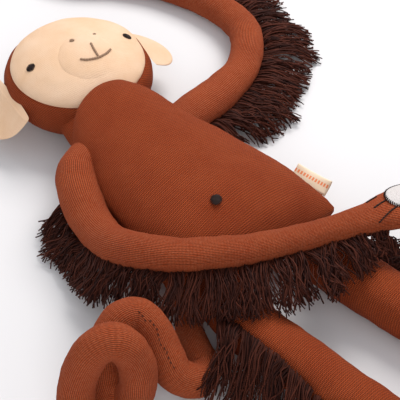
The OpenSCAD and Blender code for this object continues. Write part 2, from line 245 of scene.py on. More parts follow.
# %% [markdown]
# ## Thread, tape and pad
# The embroidery is satin stitch: mercerised cotton, which shines a little across its strands. The fringe is soft
# twisted thread, each strand dyed slightly unlike the next, so its colour comes from a number kept in the strand's
# own UV map. The label is woven tape. The palm pad is the brushed half of a hook-and-loop fastener.

# %% Make the small materials
TWIST_MM, WEFT_MM, NAP_MM = 1.6, 0.8, 0.8
MARKS_AT, MARK_HALF, MARK_PITCH = 20, 1.5, 2.9  # mm along the strip, half height, and spacing


def wind_thread(name, dark, light, strand_mm=0.6, roughness=0.6):
    """Satin stitch: fine strands that run round the line, across its length."""
    material, tree, shader = new_material(name)
    strand = zigzag(tree, cloth_axes(tree)[1], strand_mm)
    colour = blend_colours(tree, sum_of(tree, "MULTIPLY", strand, 1.6), linear(dark), linear(light))
    set_look(tree, shader, colour, (strand, 0.6, 0.3), Roughness=roughness, Specular_IOR_Level=0.2)
    return material


dark_thread = wind_thread("dark_satin_stitch", "#190d0b", "#33201b")
brown_thread = wind_thread("brown_satin_stitch", "#876a55", "#ab8e76")

fringe_thread, tree, shader = new_material("twisted_cotton_thread")
shade, along = cloth_axes(tree)
dye = blend_colours(tree, shade, linear("#260c08"), linear("#5c2c1e"))
twisted = blend_colours(tree, zigzag(tree, along, TWIST_MM), dye, linear("#170604"))
set_look(tree, shader, twisted, Roughness=0.75, Specular_IOR_Level=0.15)

label_tape, tree, shader = new_material("woven_label_tape")
across, along = cloth_axes(tree)
centre_line = sum_of(tree, "ABSOLUTE", sum_of(tree, "SUBTRACT", across, MARKS_AT * MM), 0)
marks = sum_of(tree, "MULTIPLY", sum_of(tree, "LESS_THAN", centre_line, MARK_HALF * MM),
               sum_of(tree, "GREATER_THAN", zigzag(tree, along, MARK_PITCH), 0.2))
tape = blend_colours(tree, zigzag(tree, along, WEFT_MM), linear("#f3dfc4"), linear("#d8bb9c"))
marked = blend_colours(tree, sum_of(tree, "MULTIPLY", marks, 0.85), tape, linear("#e8722c"))
set_look(tree, shader, marked, Roughness=0.7)

brushed_pad, tree, shader = new_material("brushed_loop_pad")
nap = heather(tree, NAP_MM, 3, 0, 1)
set_look(tree, shader, blend_colours(tree, nap, linear("#cfc6c4"), linear("#efe9e7")), (nap, 0.8, 0.6),
         Roughness=0.95, Sheen_Weight=0.3)
print("threads, tape and pad ready")

# %% [markdown]
# ## Routes
# A limb is a route: the middle of the limb at a few places, with half its width and half its height there. A
# smooth curve is drawn through those, then walked in equal steps, so that the cloth's mesh is even. A sideways
# direction is carried along the route without twisting, which keeps the wales straight along the limb.

# %% Walk a route in equal steps
def smooth_route(points, spacing):
    """Points of any length joined by a smooth curve and cut into equal steps of about spacing mm."""
    fine = []
    last = len(points) - 1
    for i in range(last):
        a, b, c, d = (points[max(0, min(last, i + j))] for j in (-1, 0, 1, 2))
        for k in range(16):
            t = k / 16
            fine.append([(2 * q + (r - p) * t + (2 * p - 5 * q + 4 * r - s) * t * t
                          + (3 * q - p - 3 * r + s) * t ** 3) / 2 for p, q, r, s in zip(a, b, c, d)])
    fine.append(list(points[-1]))
    run = [0]
    for p, q in zip(fine, fine[1:]):
        run.append(run[-1] + math.dist(p[:3], q[:3]))
    count = max(2, round(run[-1] / spacing))
    out, j = [], 0
    for i in range(count + 1):
        goal = run[-1] * i / count
        while j < len(run) - 2 and run[j + 1] < goal:
            j += 1
        t = (goal - run[j]) / (run[j + 1] - run[j])
        out.append([p + (q - p) * t for p, q in zip(fine[j], fine[j + 1])])
    return out


def directions(route):
    """The heading, the sideways and the upward direction at each point of a route."""
    places = [Vector(p[:3]) for p in route]
    heads = [(places[min(i + 1, len(places) - 1)] - places[max(i - 1, 0)]).normalized()
             for i in range(len(places))]
    side = heads[0].cross(UP).normalized()
    sides = []
    for head in heads:
        side = (side - side.dot(head) * head).normalized()
        sides.append(side)
    return heads, sides, [s.cross(h) for s, h in zip(sides, heads)]


def mesh_piece(name, places, faces, uvs):
    """A new object of these places and faces, with one cloth coordinate for each corner of each face."""
    mesh = bpy.data.meshes.new(name)
    mesh.from_pydata(places, [], faces)
    mesh.uv_layers.new(name="cloth").data.foreach_set("uv", [v for uv in uvs for v in uv])
    piece = bpy.data.objects.new(name, mesh)
    bpy.context.collection.objects.link(piece)
    return piece


def closed_skin(name, rings, uv_rings):
    """A closed cloth skin through rings of points, each end drawn together to one point."""
    m = len(rings[0])
    places = [p for ring in rings for p in ring]
    places += [sum(rings[0], Vector()) / m, sum(rings[-1], Vector()) / m]
    faces, uvs = [], []
    for i in range(len(rings) - 1):
        for k in range(m):
            n = (k + 1) % m
            faces.append((i * m + k, i * m + n, (i + 1) * m + n, (i + 1) * m + k))
            uvs += [uv_rings[i][k], uv_rings[i][k + 1], uv_rings[i + 1][k + 1], uv_rings[i + 1][k]]
    for i, pole in ((0, len(places) - 2), (len(rings) - 1, len(places) - 1)):
        for k in range(m):
            faces.append((i * m + k, i * m + (k + 1) % m, pole))
            uvs += [uv_rings[i][k], uv_rings[i][k + 1], uv_rings[i][k]]
    piece = mesh_piece(name, places, faces, uvs)
    shape = bmesh.new()
    shape.from_mesh(piece.data)
    bmesh.ops.recalc_face_normals(shape, faces=shape.faces)
    shape.to_mesh(piece.data)
    shape.free()
    return piece


def soften(piece, material, levels=1, sharp=180):
    """Rounds a mesh off with applied subdivision, smooths edges up to some degrees and gives it its cloth."""
    bpy.ops.object.select_all(action="DESELECT")
    bpy.context.view_layer.objects.active = piece
    piece.select_set(True)
    if levels:
        rounder = piece.modifiers.new("rounder", "SUBSURF")
        rounder.levels = rounder.render_levels = levels
        bpy.ops.object.modifier_apply(modifier=rounder.name)
    bpy.ops.object.shade_smooth_by_angle(angle=math.radians(sharp))
    piece.data.materials.clear()
    piece.data.materials.append(material)
    piece.select_set(False)
    return piece


print("route helpers ready")

# %% [markdown]
# ## Limbs
# Arms, legs and tail are tubes of jersey with stuffing pushed in from one end. They could be swept curves, but a
# mesh built ring by ring lets the cloth do what it does: pucker all over, crease a little on the inside of each
# bend, and lie flat where it rests on the table. The depth of a crease follows how tightly the limb bends there.
# Each limb is cut in the middle of a straight part, into one piece for each of its two CAD bodies. Both sides
# of a cut have the same ring of points, so the cut doesn't show, and its flat end keeps a sharp edge in the
# shading.

# %% Stuff a limb
DOME_END = math.radians(86)  # how far round its end a limb's rings go before they close
BEND_SPAN, CREASE_PITCH, CREASE_DEPTH = 5, 13, 2.2  # mm


def limb_rings(route, around=72, spacing=1.6, dome_steps=9, pucker=0.9):
    """Rings of points, in metres, along a stuffed tube with two domed ends, and their cloth coordinates."""
    walk = smooth_route(route, spacing)
    heads, sides, ups = directions(walk)
    n = len(walk) - 1
    stations = []
    for step in range(dome_steps, 0, -1):
        a = DOME_END * step / dome_steps
        stations.append((0, -math.sin(a) * walk[0][3], math.cos(a)))
    stations += [(i, 0, 1) for i in range(n + 1)]
    for step in range(1, dome_steps + 1):
        a = DOME_END * step / dome_steps
        stations.append((n, math.sin(a) * walk[n][3], math.cos(a)))
    step_mm = sum(math.dist(p[:3], q[:3]) for p, q in zip(walk, walk[1:])) / n
    reach = max(2, round(BEND_SPAN / step_mm))
    girth = math.tau * sum(p[3] + p[4] for p in walk) / (2 * len(walk))
    rings, uv_rings = [], []
    for i, shift, shrink in stations:
        middle = Vector(walk[i][:3]) + heads[i] * shift
        bend = (heads[min(i + reach, n)] - heads[max(i - reach, 0)]) / (2 * reach * step_mm)
        tight = min(1, bend.length * walk[i][3])
        inward = bend.normalized() if bend.length > 1e-6 else Vector()
        ring = []
        for k in range(around):
            a = math.tau * k / around
            out = sides[i] * walk[i][3] * math.cos(a) + ups[i] * walk[i][4] * math.sin(a)
            point = middle + out * shrink
            way = out.normalized()
            grain = noise.noise(point / 13) * 0.7 + noise.noise(point / 6 + Vector((7, 3, 1))) * 0.35
            turns = (i * step_mm + shift) / CREASE_PITCH
            fold = max(0, math.cos(math.tau * turns + 5 * noise.noise(point / 22))) ** 2
            crease = CREASE_DEPTH * tight * max(0, way.dot(inward)) ** 2 * fold * (0.6 + noise.noise(point / 30))
            point += way * (pucker * grain - crease) * shrink
            point.z = max(TABLE_GAP, point.z)
            ring.append(point * MM)
        rings.append(ring)
        uv_rings.append([(girth * k / around * MM, (i * step_mm + shift) * MM) for k in range(around + 1)])
    return rings, uv_rings


limbs = {}


def hang(piece, child, *nodes):
    """Bakes a piece's placement into its mesh and lets it stand for its CAD nodes. The body it is given is not
    used.
    """
    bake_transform(piece)
    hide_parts(*nodes)


def stuff_limb(name, route, cut_at, bodies, jersey, **options):
    """One tube, cut across where it comes nearest to cut_at. Its two ends stand in for the two bodies' CAD skin
    and stuffing.
    """
    rings, uv_rings = limb_rings(route, **options)
    cut = min(range(len(rings)), key=lambda i: (sum(rings[i], Vector()) / len(rings[i]) / MM
                                                 - Vector(cut_at)).length)
    near = soften(closed_skin(name + "_root", rings[:cut + 1], uv_rings[:cut + 1]), jersey, 0, sharp=60)
    far = soften(closed_skin(name + "_free", rings[cut:], uv_rings[cut:]), jersey, 0, sharp=60)
    for piece, body in zip((near, far), bodies):
        hang(piece, body, body + "_skin", body + "_stuffing")
    limbs[name] = far
    print(name, "rings:", len(rings), "cut at ring", cut)


right_arm = [(-42, 66, 40, 15, 15), (-66, 51, 42, 17.5, 17), (-78, 28, 38, 18, 18), (-85, 2, 36, 16.5, 16.5),
             (-89, -22, 41, 15.5, 15.5), (-90, -46, 52, 15, 15), (-83, -73, 65, 14.5, 14.5),
             (-68, -94, 71, 14, 13), (-45, -108, 71, 13, 12.5), (-19, -119, 68, 12, 12),
             (19, -131, 66, 11, 11), (51, -140, 66, 11.5, 11), (77, -146, 66, 15, 11.5),
             (99, -151, 66, 22, 12), (120, -156, 66, 24, 13), (141, -162, 66, 19, 12)]
stuff_limb("right_arm", right_arm, (-78, 28, 38), ("right_upper_arm", "right_forearm"), limb_jersey_painted_light)

left_arm = [(42, 60, 33, 15, 15), (68, 69, 27, 17, 17), (95, 78, 21, 17, 17), (132, 93, 18, 15, 15),
            (154, 111, 18, 15, 15), (170, 134, 17, 15, 15), (175, 155, 16, 14.5, 14.5),
            (174, 178, 15, 14, 14), (166, 207, 14, 13, 13), (150, 240, 13, 12, 12),
            (128, 270, 13, 12, 12), (109, 295, 13, 20, 12), (95, 314, 13, 23, 12.5), (83, 329, 13, 19, 12)]
stuff_limb("left_arm", left_arm, (95, 78, 21), ("left_upper_arm", "left_forearm"), limb_jersey_painted_light)

right_leg = [(-49, -112, 26, 18, 9), (-46, -130, 26, 21, 16), (-43, -154, 24, 22.5, 23),
             (-37, -184, 23, 22.5, 22.5), (-31, -214, 23, 22, 22), (-27, -240, 23, 21.5, 21.5),
             (-22, -266, 23, 22, 22), (-16, -300, 23, 22, 22), (-10, -330, 25, 23, 24)]
stuff_limb("right_leg", right_leg, (-37, -184, 23), ("right_thigh", "right_shin"), rust_jersey, around=84)

left_leg = [(37, -92, 26, 18, 9), (43, -112, 26, 21, 16), (50, -139, 24, 22.5, 23),
            (59, -180, 23, 22.5, 22.5), (68, -221, 23, 22, 22), (75, -247, 23, 21.5, 21.5),
            (82, -273, 23, 22, 22), (88, -300, 23, 22, 22), (95, -327, 25, 23, 24)]
stuff_limb("left_leg", left_leg, (59, -180, 23), ("left_thigh", "left_shin"), rust_jersey, around=84)

tail = [(-72, -112, 22, 10, 10), (-80, -124, 18, 11, 11), (-86, -142, 16, 12, 12), (-88, -150, 15, 12.5, 12.5),
        (-92, -159, 15, 13, 13), (-105, -166, 20, 13.5, 13.5), (-118, -159, 30, 14, 14),
        (-119, -147, 41, 14, 14), (-118, -131, 53, 14, 14), (-123, -117, 60, 14, 14),
        (-138, -114, 60, 14, 14), (-152, -119, 48, 14, 14), (-162, -127, 30, 14, 14),
        (-164, -142, 17, 14, 14), (-155, -155, 26, 14, 14), (-152, -161, 56, 14, 14),
        (-156, -157, 82, 14, 14), (-167, -151, 95, 14, 14), (-180, -146, 89, 14, 14),
        (-189, -141, 64, 14, 14), (-194, -141, 38, 14, 14), (-197, -152, 20, 13, 13), (-194, -168, 14, 12, 12)]
stuff_limb("tail", tail, (-88, -150, 15), ("tail_base", "tail_curl"), limb_jersey_painted_light, spacing=1.8)

# %% [markdown]
# ## Torso
# The torso is two pear-shaped panels sewn together down the sides and across the hips, then stuffed hard. It is
# one crowned, closed form here, with a sunken seam where the panels meet. Rings of cloth are laid across the body
# at each station, and the lower half of each ring is flattened where it rests on the table. The UV map is
# measured round each ring from the middle of the belly, so the wales run down the body.

# %% Sew and stuff the torso
SEAM_DEPTH, SEAM_SPREAD, SEAM_PUCKER = 2.2, 5, 8.5  # mm in, degrees round the body, and mm along it


def torso_ring(station, around=96):
    """One ring of the torso: y, x of the middle, half width, seam height, rise and drop in mm, and lean."""
    y, middle, half, seam, rise, drop, lean = station  # lean is how far the ring's top slopes up the body
    slant = 0.17 * max(0, min(1, (30 - y) / 95)) + 0.14 * max(0, (y - 45) / 45)
    ring = []
    for k in range(around):
        a = math.tau * k / around - math.pi / 2
        c, s = math.cos(a), math.sin(a)
        sunk = math.exp(-(math.degrees(math.asin(max(-1, min(1, s)))) / SEAM_SPREAD) ** 2)
        x = middle + (half - SEAM_DEPTH * sunk) * c
        z = seam + (rise if s > 0 else drop) * s
        point = Vector((x, y + slant * x + lean * max(0, z - seam), z))
        pull = 1.1 * noise.noise(point / 30) + 0.6 * noise.noise(point / 12)
        wave = math.cos(math.tau * y / SEAM_PUCKER + 3 * noise.noise(point / 25))
        pucker = 0.9 * math.exp(-(s / 0.35) ** 2) * wave
        point += Vector((c * half, 0, s * rise)).normalized() * (pull + pucker * 0.6)
        point.z = max(0.3, point.z)
        ring.append(point * MM)
    return ring


def measured_rings(rings):
    """Cloth coordinates: distance round each ring from its top, and distance along the body."""
    m, uv_rings, run, before = len(rings[0]), [], 0, None
    for ring in rings:
        centre = ring[m // 2]
        run += (centre - before).length if before else 0
        before = centre
        total = [0]
        for k in range(m):
            total.append(total[-1] + (ring[(k + 1) % m] - ring[k]).length)
        uv_rings.append([(t - total[m // 2], run) for t in total])
    return uv_rings


torso_stations = [(92, -9, 26, 38, 8, 8, .75), (90, -9, 36, 38, 20, 19, .75), (84, -9, 42, 38, 31, 30, .7),
                  (70, -9, 47, 37, 38, 38, .5), (45, -7, 54, 35, 41, 40, .15), (10, -4, 63, 33, 44, 38, 0),
                  (-30, 0, 70, 32, 45, 36, 0), (-65, 3, 75, 30, 45, 34, 0), (-90, 2, 82, 29, 34.2, 30, 0),
                  (-104, 1, 86, 28, 20.7, 20, 0), (-112, 0, 87, 28, 5, 5, 0)]
walk = smooth_route([(0, s[0], 0) + s[1:] for s in torso_stations], 3)
rings = [torso_ring(s[1:2] + s[3:]) for s in walk]
torso = soften(closed_skin("torso", rings, measured_rings(rings)), rust_jersey)
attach(torso, "torso")
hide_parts("torso_front_panel", "torso_back_panel", "torso_stuffing")
print("torso rings:", len(rings))

# %% [markdown]
# ## Head
# The head is a flat cushion: a rust hood behind, and a peach face let into its front with a seam all round. Both
# are parts of one squashed ball, told apart by the angle from the middle of the face. The hood sinks towards the
# seam and runs on under the face, so no gap opens between them. A wide, soft neck joins it to the torso.

# %% Stuff the head
head_at, head_turn = Vector((2, 154, 39)), math.radians(-5)
HEAD_W, HEAD_L, HEAD_H, CAP_R = 65, 64, 38, 55  # mm: half sizes, and the radius that its cloth is laid out on
FACE_EDGE, SEAM_FADE = 67, 2.2  # degrees from the middle of the face, and how fast the seam's dip fades


def on_head(x, y, z):
    """A point of the head's own frame, x across, y to the crown and z from the table, in metres."""
    turned = Matrix.Rotation(head_turn, 3, "Z") @ Vector((x, y, 0))
    return Vector((head_at.x + turned.x, head_at.y + turned.y, z)) * MM


def head_ring(polar, grow, around=96):
    """A ring at an angle from the middle of the face, grown outwards by some mm."""
    a = math.radians(polar)
    ring = []
    for k in range(around):
        t = math.tau * k / around
        x = (HEAD_W + grow) * math.sin(a) * math.cos(t)
        y = (HEAD_L + grow) * math.sin(a) * math.sin(t)
        z = head_at.z + (HEAD_H + grow) * math.cos(a)
        spot = Vector((x, y, z))
        ring.append((spot, 0.8 * noise.noise(spot / 24) + 0.35 * noise.noise(spot / 9)))
    return [on_head(p.x * (1 + n / 65), p.y * (1 + n / 65), max(0.8, p.z + n)) for p, n in ring]


def flat_uvs(radii, around):
    """Cloth coordinates that lie flat over a cap, on rings of some radii in mm: the wales run chin to crown."""
    turns = [math.tau * k / around for k in range(around + 1)]
    return [[(r * math.cos(t) * MM, r * math.sin(t) * MM) for t in turns] for r in radii]


def cap_uvs(polars):
    """The same for rings at some angles from the middle of the face."""
    return flat_uvs([math.radians(polar) * CAP_R for polar in polars], 96)


rows = [FACE_EDGE - 1.5 + 2.5 * i for i in range(40)]
hood_polars = [20, 40, 55, 61] + [p for p in rows if p < 177]
hood = closed_skin("hood", [head_ring(p, -2.2 if p < FACE_EDGE else -2 * math.exp(-(p - FACE_EDGE) / SEAM_FADE))
                            for p in hood_polars], cap_uvs(hood_polars))
soften(hood, rust_jersey)

face_polars = [3 + 3.2 * i for i in range(21)]
front = [head_ring(p, 0.4 - 2.2 * math.exp(-(FACE_EDGE + 0.6 - p) / SEAM_FADE)) for p in face_polars]
front.append(head_ring(FACE_EDGE + 0.6, -2.6))
under = [head_ring(p, -4.5) for p in (FACE_EDGE, 50, 20, 5)]
face = closed_skin("face", front + under, cap_uvs(face_polars + [FACE_EDGE + 0.6, FACE_EDGE, 50, 20, 5]))
soften(face, peach_jersey)
for piece, slot, nodes in ((hood, "rust_knit", ("head_hood", "head_stuffing")),
                           (face, "peach_knit", ("face_panel",))):
    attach(piece, "head")
    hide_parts(*nodes)

neck = limb_rings([(-4, 62, 36, 42, 26), (-4, 84, 34, 44, 22), (-2, 112, 34, 42, 18)], dome_steps=4)
neck = soften(closed_skin("neck", *neck), rust_jersey, 0)
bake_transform(neck)
print("head done")

# %% [markdown]
# ## Muzzle, ears
# The muzzle is a round peach patch sewn over a little wadding, so it bulges. An ear is a half circle of two peach
# layers, turned inside out and lightly stuffed, thin at its rim. It droops until it touches the table.

# %% Sew the muzzle
MUZZLE = Vector((1.5, -18))
MUZZLE_R, MUZZLE_PUFF = 26, 2.1


def face_height(x, y):
    """Height of the face over the table, at x across and y up from the head's middle."""
    return head_at.z + HEAD_H * math.sqrt(max(0, 1 - (x / HEAD_W) ** 2 - (y / HEAD_L) ** 2))


def muzzle_height(x, y):
    """Height of the muzzle's top: it meets the face at its seam."""
    f = min(1, math.hypot(x - MUZZLE.x, y - MUZZLE.y) / MUZZLE_R)
    return face_height(x, y) - 0.5 + (MUZZLE_PUFF + 1) * (1 - f ** 3) ** 0.5


def muzzle_ring(radius, lift, around=72):
    """A ring of the muzzle: on its top, or lift mm over the face."""
    ring = []
    for k in range(around):
        t = math.tau * k / around
        x, y = MUZZLE.x + radius * math.cos(t), MUZZLE.y + radius * math.sin(t)
        z = muzzle_height(x, y) if lift is None else face_height(x, y) + lift
        ring.append(on_head(x, y, z + 0.3 * noise.noise(Vector((x, y, 0)) / 8)))
    return ring


radii, under_radii = [1.5 * i for i in range(1, 17)] + [24.8, 25.5, MUZZLE_R], [25.5, 14, 2]
rings = [muzzle_ring(r, None) for r in radii] + [muzzle_ring(r, -2) for r in under_radii]
muzzle = closed_skin("muzzle", rings, flat_uvs(radii + under_radii, 72))
soften(muzzle, peach_jersey)
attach(muzzle, "head")
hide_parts("muzzle_patch")


# %% Sew the ears
EAR_TUCK, EAR_CURL = 5, 0.1  # mm hidden inside the head, and the curl at the rim as a share of the reach


def sew_ear(name, side, droop=math.radians(50), reach=32, thick=6):
    """A stuffed half circle, hinged on the side of the head: side is 1 for the left ear, -1 for the right."""
    rings, uv_rings = [], []
    across, deep = 40, 20
    for i in range(across + 1):
        v = -1 + 2 * i / across
        half = math.sqrt(max(0, 1 - v * v))
        ring, uvs = [], []
        for k in range(deep + 1):
            t = math.pi * k / deep
            out = -EAR_TUCK + (reach * half + EAR_TUCK) * (1 - math.cos(t)) / 2
            rim = max(0, 1 - (math.hypot(max(0, out), v * reach) / reach) ** 2)
            crown = thick / 2 * rim ** 0.4 + 0.35 + 0.5 * noise.noise(Vector((out, v * reach, side)) / 8) * rim
            ring.append((out, v * reach, crown))
            uvs.append((out * MM, v * reach * MM))
        lower = [(o, y, -c) for o, y, c in reversed(ring)][1:-1]
        loop = []
        for o, y, c in ring + lower:
            curl = EAR_CURL * (o / reach) ** 2 * reach
            x = side * (HEAD_W + 3 + o * math.cos(droop) - (c - curl) * math.sin(droop))
            z = head_at.z - o * math.sin(droop) + (c + curl) * math.cos(droop)
            loop.append(on_head(x, y, max(TABLE_GAP, z)))
        rings.append(loop)
        row = uvs + list(reversed(uvs))[1:-1]
        uv_rings.append(row + row[:1])
    ear = soften(closed_skin(name, rings, uv_rings), peach_jersey)
    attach(ear, name)
    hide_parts(name)
    ear.name = name + "_sewn"


sew_ear("right_ear", -1)
sew_ear("left_ear", 1, droop=math.radians(32), reach=25)
print("muzzle and ears done")

# %% [markdown]
# ## Embroidery
# Eyes, nostrils, mouth, navel, finger and toe lines are stitched, so they stand a little proud of the cloth. A
# line is a row of short overlapping stitches, each a tapered strand laid along the line. A dot is satin stitch:
# strands side by side, each as long as the dot is wide there. Every strand is a closed tube with few sides.

# %% Stitch the lines
def thread_ring(middle, side, up, radius, sides):
    """A ring of points, in metres, round one place on a thread."""
    angles = [math.tau * k / sides for k in range(sides)]
    return [(Vector(middle[:3]) + (side * math.cos(t) + up * math.sin(t)) * radius) * MM for t in angles]


def tapered_strand(points, radius, sides=6):
    """Rings round a short strand, thin at both ends."""
    heads, across, ups = directions(points)
    rings = []
    for i, p in enumerate(points):
        r = radius * (0.25 + 0.75 * math.sin(math.pi * i / (len(points) - 1)) ** 0.5)
        rings.append(thread_ring(p, across[i], ups[i], r, sides))
    return rings


def many_strands(name, strands, uv_of, material):
    """One mesh of many closed strands. uv_of(strand number, ring, side) gives the cloth coordinates."""
    places, faces, uvs = [], [], []
    for number, rings in enumerate(strands):
        at, m, n = len(places), len(rings[0]), len(rings)
        places += [p for ring in rings for p in ring]
        for i in range(n - 1):
            for k in range(m):
                q = (k + 1) % m
                faces.append((at + i * m + k, at + i * m + q, at + (i + 1) * m + q, at + (i + 1) * m + k))
                uvs += [uv_of(number, i, k), uv_of(number, i, k + 1), uv_of(number, i + 1, k + 1),
                        uv_of(number, i + 1, k)]
        faces.append(tuple(at + k for k in reversed(range(m))))
        uvs += [uv_of(number, 0, 0)] * m
        faces.append(tuple(at + (n - 1) * m + k for k in range(m)))
        uvs += [uv_of(number, n - 1, 0)] * m
    return soften(mesh_piece(name, places, faces, uvs), material, levels=0)


STITCH_STEP = 0.8  # mm between the rings of a stitch


def stitched_line(line, stitch=3.6, overlap=1.4, radius=0.8):
    """Short slanted stitches laid end over end along a line of points in mm."""
    walk = smooth_route(line, STITCH_STEP)
    heads, across, ups = directions(walk)
    reach = max(3, round(stitch / STITCH_STEP))
    gap = max(2, round((stitch - overlap) / STITCH_STEP))
    out = []
    for start in range(0, max(1, len(walk) - 2), gap):
        span = range(start, min(len(walk), start + reach + 1))
        if len(span) > 2:
            out.append(tapered_strand([Vector(walk[i]) + across[i] * 0.5 * (j / len(span) - 0.5)
                                       for j, i in enumerate(span)], radius))
    return out


def finish_stitches(name, strands, material, body, node):
    """Makes one piece of many stitches and lets it stand for its CAD node."""
    piece = many_strands(name, strands, lambda n, i, k: (0.001 * k, 0.0008 * i + 0.0003 * (n % 5)), material)
    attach(piece, body)
    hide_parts(node)
    print(name, "stitches:", len(strands))


def muzzle_spot(x, y, lift=0.5):
    """A point just over the muzzle, in mm, turned with the head."""
    return on_head(x, y, muzzle_height(x, y) + lift) / MM


lips = [(-8, -21.5), (-2.5, -25), (7, -26.5), (16, -24.5), (22.5, -20.5)]
mouth = stitched_line([muzzle_spot(x, y) for x, y in lips], radius=1.15)
mouth += stitched_line([muzzle_spot(x, y) for x, y in ((9, -9), (8, -17), (7.5, -25))], radius=1.1)
finish_stitches("mouth", mouth, brown_thread, "head", "mouth_stitching")

# %% Stitch the dots
def stitched_dot(middle, normal, diameter, rise, strand=0.75):
    """Satin stitch that fills a circle: strands laid side by side across it."""
    tilt = Vector(normal).normalized().to_track_quat("Z", "Y").to_matrix()
    r = diameter / 2
    strands = []
    count = round(diameter / strand)
    for i in range(count):
        y = -r + diameter * (i + 0.5) / count
        half = math.sqrt(max(0.05, r * r - y * y))
        line = []
        for j in range(9):
            x = -half + 2 * half * j / 8
            z = rise * (1 - (x * x + y * y) / (r * r) * 0.8)
            line.append(Vector(middle) + tilt @ Vector((x, y + 0.12 * math.sin(i * 5.1), z)))
        strands.append(tapered_strand(line, strand * 0.62))
    return strands


def face_normal(x, y):
    """The direction straight out of the face at x across and y up, turned with the head."""
    slope = Vector((x / HEAD_W ** 2, y / HEAD_L ** 2, (face_height(x, y) - head_at.z) / HEAD_H ** 2))
    return Matrix.Rotation(head_turn, 3, "Z") @ slope.normalized()


for name, x, y in (("right_eye", -44, 0.5), ("left_eye", 47, -4)):
    middle = on_head(x, y, face_height(x, y) + 0.6) / MM
    finish_stitches(name + "_satin", stitched_dot(middle, face_normal(x, y), 8.2, 1.3),
                    dark_thread, "head", name)
dots = []
for x, y in ((-3, 2), (19, 3)):
    dots += stitched_dot(muzzle_spot(x, y, 0.3), face_normal(x, y), 4, 0.6)
finish_stitches("nostril_dots", dots, brown_thread, "head", "nostrils")
finish_stitches("navel", stitched_dot((-13, -67, 75.4), (-0.1, -0.1, 1), 10, 1.2), dark_thread,
                "torso", "belly_button")

# %% [markdown]
# ## Tail seam
# The tail was filled through a slit, which is closed by hand with dark running stitches. They lie on the side of
# the tail that faces up and outwards, so each ring of the tail gives the one point that is farthest that way.

# %% Close the tail by hand
TAIL_FACING = Vector((-0.25, -0.45, 0.85))
SLIT_FROM, SLIT_TO = Vector((-0.125, -1, 0.034)), Vector((-0.1165, -0.114, 1))  # a box round it, in metres
seam = []
for ring in limb_rings(tail, spacing=1.8)[0]:
    middle = sum(ring, Vector()) / len(ring)
    if all(a < v < b for a, v, b in zip(SLIT_FROM, middle, SLIT_TO)):
        seam.append(max(ring, key=lambda p: (p - middle).dot(TAIL_FACING)) / MM + TAIL_FACING * 0.3)
dashes = stitched_line(seam, stitch=2.4, overlap=-1.6, radius=0.4)
tail_seam = many_strands("tail_seam_dashes", dashes, lambda n, i, k: (0.001 * k, 0.0008 * i), dark_thread)
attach(tail_seam, "tail_curl")
print("tail seam dashes:", len(dashes))

# %% [markdown]
# ## Hands and feet
# Each palm has a round pad of brushed loop fabric, oversewn round its edge, and three dark lines for fingers. The
# pad starts as a disc, is inset three times and lifted each time, which gives it a soft crown and a sewn rim. It
# is then bowed over the hand, so that its edge doesn't stand out from a narrow palm.

# %% Sew the palm pads
PAD_R, PAD_BOW, PAD_STITCHES = 13.5, 3.4, 44  # mm, mm, and stitches round the rim


def sew_pad(name, middle, lean, wide, body, node):
    """A round pad, shaped from a cylinder. It leans by some degrees and is bowed along the wide direction."""
    bpy.ops.object.select_all(action="DESELECT")
    tip = Matrix.Rotation(math.radians(lean), 3, "X")

    def bow(point):
        """How many mm the pad drops at a point, because it wraps over the hand."""
        away = (point - Vector(middle)).dot(Vector(wide))
        return PAD_BOW * (away / PAD_R) ** 2

    bpy.ops.mesh.primitive_cylinder_add(vertices=64, radius=PAD_R * MM, depth=1.6 * MM)
    pad = bpy.context.object
    pad.name = name
    bpy.ops.object.mode_set(mode="EDIT")
    bpy.ops.mesh.select_all(action="DESELECT")
    shape = bmesh.from_edit_mesh(pad.data)
    for face in shape.faces:
        face.select = face.normal.z > 0.9
    bmesh.update_edit_mesh(pad.data)
    for thickness, lift in ((1.2, 0.5), (3, 0.5), (4, 0.3)):
        bpy.ops.mesh.inset(thickness=thickness * MM)
        bpy.ops.transform.translate(value=(0, 0, lift * MM))
    bpy.ops.object.mode_set(mode="OBJECT")
    pad.location = [v * MM for v in middle]
    pad.rotation_euler.x = math.radians(lean)
    bpy.ops.object.transform_apply(location=True, rotation=True, scale=True)
    edge = pad.modifiers.new("edge", "BEVEL")
    edge.width, edge.segments, edge.limit_method = 0.4 * MM, 2, "ANGLE"
    bpy.ops.object.modifier_apply(modifier=edge.name)
    for vertex in pad.data.vertices:
        vertex.co.z -= bow(vertex.co / MM) * MM
    pad.data.shade_smooth()
    pad.data.materials.clear()
    pad.data.materials.append(brushed_pad)
    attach(pad, body)
    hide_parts(node)
    rim = []
    for k in range(PAD_STITCHES):
        a = math.tau * k / PAD_STITCHES
        way = Vector((math.cos(a), math.sin(a), 0))
        slant = Vector((-way.y, way.x, 0)) * 0.8
        line = [Vector(middle) + tip @ (way * r + slant * (r - 13.3) + UP * z)
                for r, z in ((14.4, -0.7), (13.8, 0.7), (12.9, 1.3), (12, 1.1))]
        line = [p - UP * bow(p) for p in line]
        rim.append(tapered_strand(line, 0.5))
    stitches = many_strands(name + "_oversewing", rim, lambda n, i, k: (0.001 * k, 0.0008 * i), dark_thread)
    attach(stitches, body)


sew_pad("right_pad", (105, -150, 79.2), -8, (0.22, 0.97, 0), "right_forearm", "right_palm_pad")
sew_pad("left_pad", (97, 312, 26.2), 0, (0.82, 0.57, 0), "left_forearm", "left_palm_pad")


def rest_on(piece, point, lift=0.5):
    """The point straight under the given one where the cloth of a piece lies, lifted by a thread's radius."""
    cloth = BVHTree.FromObject(piece, bpy.context.evaluated_depsgraph_get())
    hit = cloth.ray_cast(Vector((point.x * MM, point.y * MM, 0.3)), -UP)[0]
    return hit / MM + UP * lift if hit else point


